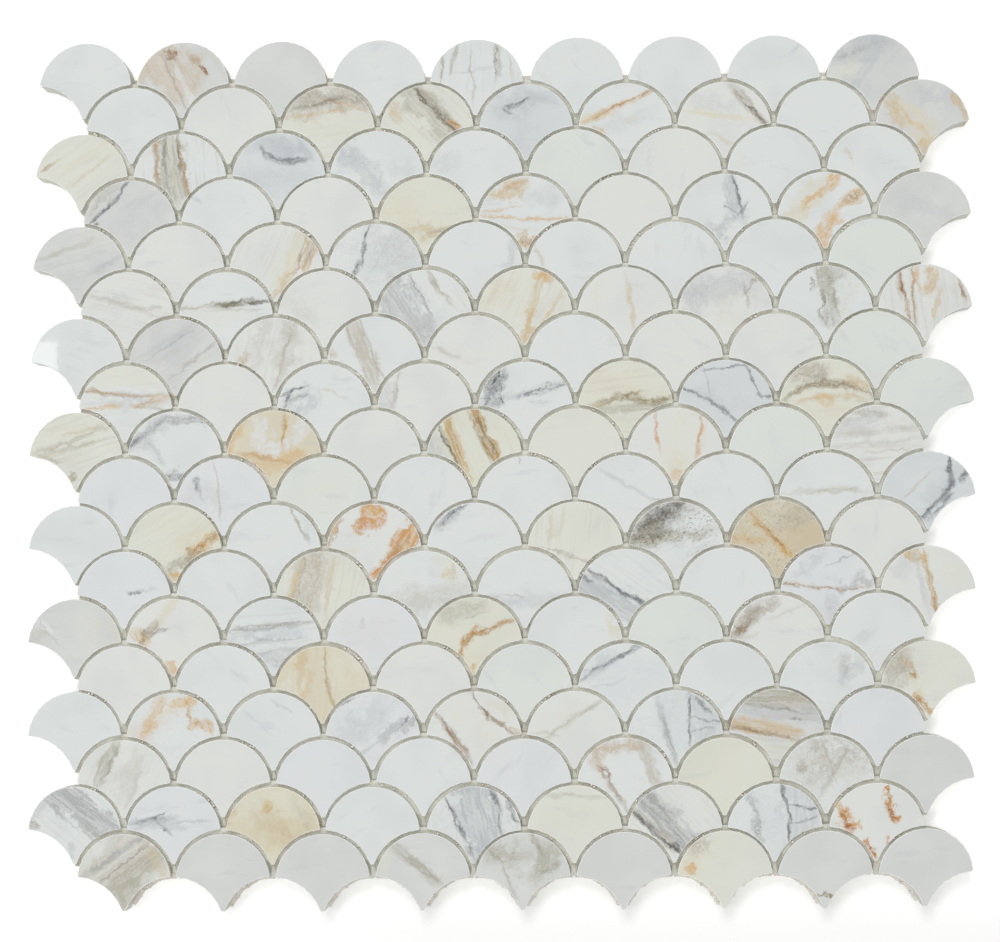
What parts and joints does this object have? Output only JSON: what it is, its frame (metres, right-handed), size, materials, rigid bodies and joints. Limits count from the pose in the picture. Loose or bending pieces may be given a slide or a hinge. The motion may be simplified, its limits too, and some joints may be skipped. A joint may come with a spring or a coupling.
{
  "type": "fish scale marble mosaic tile sheet",
  "caption": "Flat sheet of thick fan-shaped marble chips in overlapping fish-scale rows, held at an even joint by a thin mesh backing.",
  "frame": {"origin": "centre of the sheet's outline, on the underside of the backing", "axes": "+X along the rows, +Y towards the rounded ends of the chips, +Z out of the polished face"},
  "size_m": [0.302, 0.2792, 0.01],
  "materials": {
    "marble": "polished",
    "backing": "satin"
  },
  "bodies": {
    "root": {"backing_mesh": "backing", "chip_row_01": "marble", "chip_row_02": "marble", "chip_row_03": "marble", "chip_row_04": "marble", "chip_row_05": "marble", "chip_row_06": "marble", "chip_row_07": "marble", "chip_row_08": "marble", "chip_row_09": "marble", "chip_row_10": "marble", "chip_row_11": "marble", "chip_row_12": "marble", "chip_row_13": "marble", "chip_row_14": "marble", "chip_row_15": "marble", "chip_row_16": "marble", "chip_row_17": "marble", "chip_row_18": "marble"}
  },
  "joints": []
}
